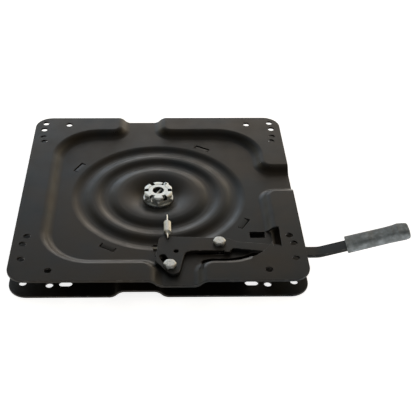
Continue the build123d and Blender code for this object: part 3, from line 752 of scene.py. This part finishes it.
pin = bmesh.new()
standing = Matrix.Translation(eye_back) @ Matrix.Rotation(pi / 2, 4, "X")
bmesh.ops.create_circle(pin, cap_ends=True, segments=PIN_SIDES, radius=PIN_R, matrix=standing)
disc = pin.verts[:] + pin.edges[:] + pin.faces[:]
bmesh.ops.bisect_plane(pin, geom=disc, plane_co=eye_back, plane_no=(1, 0, 0), clear_inner=True)
start = pin.faces[:][0]
end = bend(pin, start, PIN_EYE, (0, 0, 1), pi / 2 + neck_turn, EYE_STEPS)
end = bend(pin, end, (neck_x, NECK_R, 0), (0, 0, -1), neck_turn, NECK_STEPS)
end = push(pin, end, (SPLAY_X - neck_x, 0, 0))
end = bend(pin, end, (SPLAY_X, SPLAY_R, 0), (0, 0, -1), SPLAY, SPLAY_STEPS)
push(pin, end, Vector((-cos(SPLAY), sin(SPLAY), 0)) * TIP)
seam = [
    face for face in pin.faces
    if all(abs(vert.co.y) < MERGE and vert.co.x > PIN_EYE.x for vert in face.verts)
]
bmesh.ops.delete(pin, geom=seam, context="FACES_ONLY")
half = pin.verts[:] + pin.edges[:] + pin.faces[:]
bmesh.ops.mirror(pin, geom=half, matrix=Matrix(), merge_dist=MERGE, axis="Y")
bmesh.ops.recalc_face_normals(pin, faces=pin.faces)
bmesh.ops.rotate(pin, verts=pin.verts, cent=(0, 0, 0), matrix=Matrix.Rotation(PIN_BEARING, 3, "Z"))
bmesh.ops.translate(pin, verts=pin.verts, vec=(0, 0, (pin_low.z + pin_high.z) / 2))
add_piece(pin, "split_pin_folded", "base", zinc, "zinc_plate", "split_pin", crease=WIRE_CREASE)

# %% [markdown]
# ## Lever bolts
# Both bolts have the plain hexagon head of an M8 screw, its corners turned off by a cone, which makes
# it look nearly round from above. They were plated loose in a barrel, so their zinc is duller and more
# blotched than the nut's.

# %% Bolt heads
CONE_IN = 0.9 * MM
CORNER_OFF = 0.25 * MM
BOLT_TURN = (20, 130)

dull_zinc = clouded_finish(
    "zinc_plate_barrel_dulled", [(0.3, "#8f9597"), (0.5, "#cbcecd"), (0.7, "#c3c0b6")], cloud_mm=2.2,
    rough=(0.42, 0.6), grain_mm=1.0, depth_mm=0.05, relief=0.4, Metallic=1.0,
)
for node in ("pivot_bolt", "guide_bolt"):
    low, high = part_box(node)
    axis = Vector(((low.x + high.x) / 2, (low.y + high.y) / 2, 0))
    corner_r = (high.x - low.x) / 2 - CORNER_OFF
    cone_r = (high.y - low.y) / 2 - CONE_IN
    profile = [
        (0, low.z - ROOM),
        (corner_r, low.z - ROOM),
        (corner_r, high.z - (corner_r - cone_r) * CONE_SLOPE),
        (cone_r - ROOM, high.z + ROOM * CONE_SLOPE),
        (0, high.z + ROOM * CONE_SLOPE),
    ]
    bolt = turned(node, profile, axis)
    round_edges(bolt, edges_turning(bolt, BOLT_TURN), METAL_ROUND, METAL_SEGMENTS)
    add_piece(bolt, node + "_turned", "turntable", dull_zinc, "zinc_plate", node)

# %% [markdown]
# ## Return spring
# The spring is close wound from bright drawn wire, which glints along each turn. It pulls the lever back,
# from a hole in the dome to one in the lever. Its box in the frame gives its thickness and both holes.

# %% Place the spring
TURNS = 12.5
BODY_FORWARD = 2.0 * MM

wire = clouded_finish(
    "bright_drawn_wire", [(0.35, "#ecebe4"), (0.65, "#f8f7f1")], cloud_mm=3.0,
    rough=(0.3, 0.45), grain_mm=0.8, depth_mm=0.02, relief=0.3, Metallic=1.0,
)
coil_r = (spring_high.x - spring_low.x) / 2 - WIRE_R
spring_z = spring_high.z - coil_r - WIRE_R
dome_hole = Vector((*spring_hole, spring_low.z))
lever_hole = Vector((spring_x, spring_low.y + WIRE_R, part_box("release_lever")[0].z))
pitch = 2 * WIRE_R
body_start = (dome_hole.y + lever_hole.y - TURNS * pitch) / 2 - BODY_FORWARD
print("spring:", TURNS, "turns,", round((dome_hole.y - lever_hole.y) / MM, 1), "mm from hole to hole")

# %% [markdown]
# ## Winding the spring
# The body is one spin with a climb, and the hooks are bent on from its two end faces. At each end the
# last turn curls in to the middle, and the wire runs on over the plate and drops into its hole. The
# spring rides on no body; its place is baked into its mesh.

# %% Wind the spring
TURN_STEPS = 20
WIRE_SIDES = 10
CURL_STEPS = 10
HOOK_R = 1.5 * MM
HOOK_STEPS = 6


def hook(face, side, hole):
    """Bends the spring's end to its hole; side is 1 towards the back and -1 towards the front."""
    y = face.calc_center_median().y
    curl = Vector((spring_x - side * coil_r / 2, y, spring_z))
    face = bend(spring, face, curl, (0, -side, 0), pi, CURL_STEPS, climb=(0, side * pitch / CURL_STEPS, 0))
    y += side * pitch
    rise = (spring_x, y + side * HOOK_R, spring_z)
    face = bend(spring, face, rise, (-side, 0, 0), pi / 2, HOOK_STEPS)
    face = push(spring, face, (0, hole.y - side * HOOK_R - (y + side * HOOK_R), 0))
    drop = (spring_x, hole.y - side * HOOK_R, spring_z)
    face = bend(spring, face, drop, (-side, 0, 0), pi / 2, HOOK_STEPS)
    push(spring, face, (0, 0, hole.z - spring_z))


spring = bmesh.new()
wire_start = Matrix.Translation((spring_x + coil_r, body_start, spring_z))
bmesh.ops.create_circle(spring, cap_ends=True, segments=WIRE_SIDES, radius=WIRE_R, matrix=wire_start)
first = spring.faces[:][0]
coil_steps = int(TURNS * TURN_STEPS)
climb = (0, TURNS * pitch / coil_steps, 0)
coil_centre = (spring_x, body_start, spring_z)
last = bend(spring, first, coil_centre, (0, -1, 0), TURNS * 2 * pi, coil_steps, climb=climb)
hook(last, 1, dome_hole)
first = min(spring.faces, key=lambda face: (face.calc_center_median() - wire_start.translation).length)
hook(first, -1, lever_hole)
bmesh.ops.recalc_face_normals(spring, faces=spring.faces)
spring = add_piece(
    spring, "return_spring_coil", None, wire, "zinc_plate", "return_spring", crease=WIRE_CREASE,
)
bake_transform(spring)

# %% [markdown]
# ## The grip's form
# The grip is a soft vinyl sleeve: a rounded rectangle that narrows a little, swells near its closed end
# and is cut off square at the open one, round the arm. Its section is a bevelled square, pushed along
# stations and scaled at each. It is drawn standing on its mouth, and laid along the arm afterwards.

# %% Dip the sleeve
# Distance from the mouth, width, thickness and lift at each station, in millimetres
GRIP_STATIONS = [
    (0.8, 21.4, 13.2, 0.5), (30.0, 21.0, 13.0, 0.5), (46.0, 20.8, 12.8, 0.5), (54.0, 21.2, 13.2, 0.6),
    (60.0, 21.8, 14.0, 0.9), (66.0, 21.8, 12.8, 0.2), (70.0, 20.0, 11.2, 0.0), (71.9, 16.5, 9.0, 0.0),
]
GRIP_CORNER = 5.0 * MM
CORNER_SEGMENTS = 4
GRIP_SIDE = 0.8 * MM

distance = 0.0
width, thickness, lift = GRIP_STATIONS[0][1:]
grip = bmesh.new()
bmesh.ops.create_grid(grip, x_segments=1, y_segments=1, size=0.5)
bmesh.ops.scale(grip, verts=grip.verts, vec=(width * MM, thickness * MM, 1))
bmesh.ops.translate(grip, verts=grip.verts, vec=(GRIP_SIDE, lift * MM, 0))
bmesh.ops.bevel(
    grip, geom=grip.verts[:], offset=GRIP_CORNER, offset_type="OFFSET", affect="VERTICES",
    segments=CORNER_SEGMENTS, profile=0.5, material=-1,
)
end = grip.faces[:][0]
for station, new_width, new_thickness, new_lift in GRIP_STATIONS:
    end = push(grip, end, Vector((0, new_lift - lift, station - distance)) * MM)
    centre = Matrix.Translation((-GRIP_SIDE, -new_lift * MM, 0))
    shrink = (new_width / width, new_thickness / thickness, 1)
    bmesh.ops.scale(grip, verts=end.verts[:], vec=shrink, space=centre)
    distance, width, thickness, lift = station, new_width, new_thickness, new_lift
bmesh.ops.recalc_face_normals(grip, faces=grip.faces)
print("sleeve", distance, "mm long")

# %% [markdown]
# ## The grip's pocket
# The open end is inset and pushed back in, so that the arm enters a real pocket. Then the sleeve is laid
# along the arm, and a subdivision surface softens it. That smooths the normals too, so the modifier that
# evens them out on the other pieces is taken off.

# %% Open the sleeve and lay it on the arm
LIP = 2.1
ARM_SLOT = (15.8, 4.4)
POCKET = 60.0 * MM
GRIP_RISE = radians(17.5)
AXIS_UP = 6.0 * MM
GRIP_LEVELS = 2

grip_low, grip_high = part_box("lever_grip")
grip_place = Matrix((
    (0, -sin(GRIP_RISE), cos(GRIP_RISE), grip_low.x + AXIS_UP * sin(GRIP_RISE)),
    (1, 0, 0, (grip_low.y + grip_high.y) / 2),
    (0, cos(GRIP_RISE), sin(GRIP_RISE), grip_low.z + AXIS_UP * cos(GRIP_RISE)),
    (0, 0, 0, 1),
))
mouth = min(grip.faces, key=lambda face: face.calc_center_median().z)
bmesh.ops.inset_individual(grip, faces=[mouth], thickness=LIP * MM, depth=0.0)
bmesh.ops.translate(grip, verts=mouth.verts[:], vec=-mouth.calc_center_median())
slot_fit = [slot / (size - 2 * LIP) for slot, size in zip(ARM_SLOT, GRIP_STATIONS[0][1:3])]
bmesh.ops.scale(grip, verts=mouth.verts[:], vec=(*slot_fit, 1))
push(grip, mouth, (0, 0, POCKET))
bmesh.ops.transform(grip, matrix=grip_place, verts=grip.verts)
bmesh.ops.recalc_face_normals(grip, faces=grip.faces)
grip = add_piece(grip, "lever_grip_sleeve", "lever", vinyl, "grip_vinyl", "lever_grip", crease=pi)
grip.modifiers.clear()
soft = grip.modifiers.new("soft", "SUBSURF")
soft.levels = GRIP_LEVELS
soft.render_levels = GRIP_LEVELS

# %% [markdown]
# ## Finishes on the pieces that stay as they are
# Pieces that lie between the plates keep their CAD shape and take a finish.

# %% Finish the inner pieces
FINISHES = {
    "glide_ring": nylon,
    "pivot_bush": nylon,
    "lock_ring": coat,
    "lock_tooth": steel,
    "pivot_washer": zinc,
    "guide_washer": zinc,
    "pivot_nut": zinc,
    "guide_nut": zinc,
}
for node, finish in FINISHES.items():
    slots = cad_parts[node].data.materials
    slots.clear()
    slots.append(finish)
print("finished", len(FINISHES), "inner pieces")
